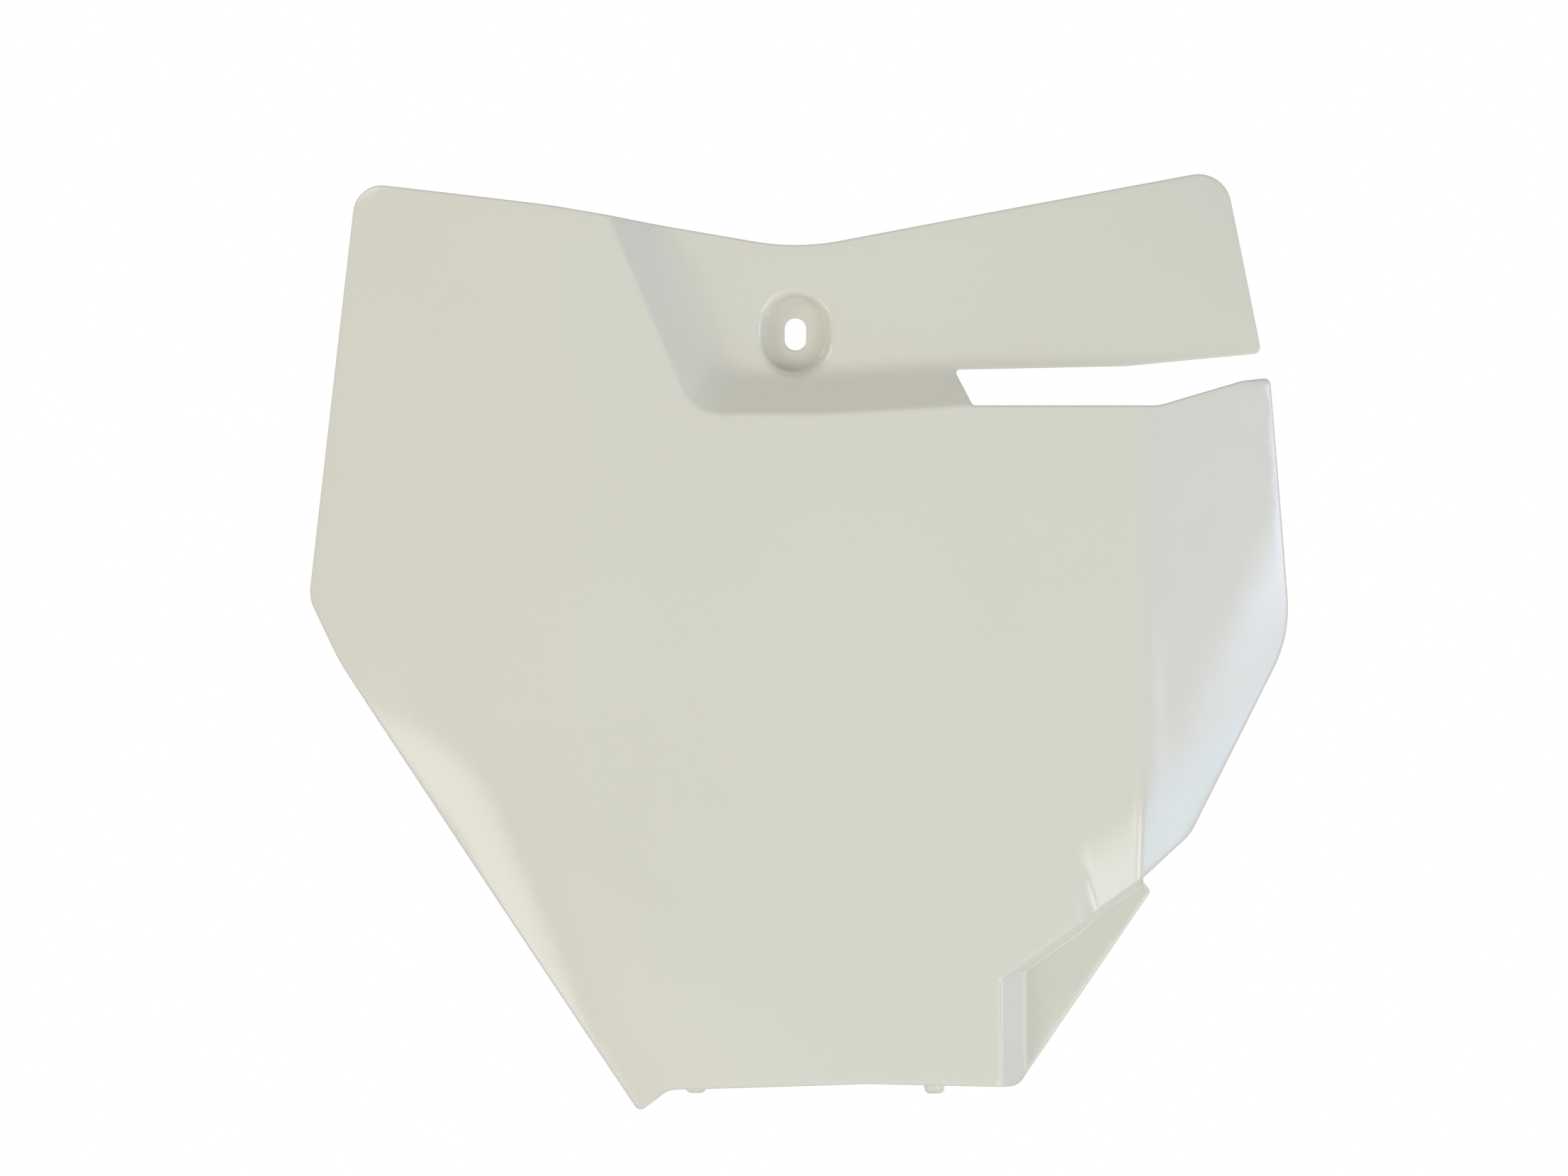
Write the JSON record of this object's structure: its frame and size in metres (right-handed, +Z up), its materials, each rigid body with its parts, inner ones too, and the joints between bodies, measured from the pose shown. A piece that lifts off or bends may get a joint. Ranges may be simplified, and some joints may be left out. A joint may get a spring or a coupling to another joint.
{
  "type": "motorcycle front number board",
  "caption": "Moulded front number board with a stepped arm over a hose gap, a dished screw slot with a rear boss, a folded side wing and lower lugs.",
  "frame": {"origin": "centre of the screw slot, on the flat rear seat of its boss", "axes": "+Z up with the board upright, -Y out of the face towards someone in front of the machine, +X to that person's right"},
  "size_m": [0.2405, 0.0273, 0.229],
  "materials": {
    "board_plastic": "satin-gloss off-white moulded plastic"
  },
  "bodies": {
    "root": {"number_board": "board_plastic"}
  },
  "joints": []
}
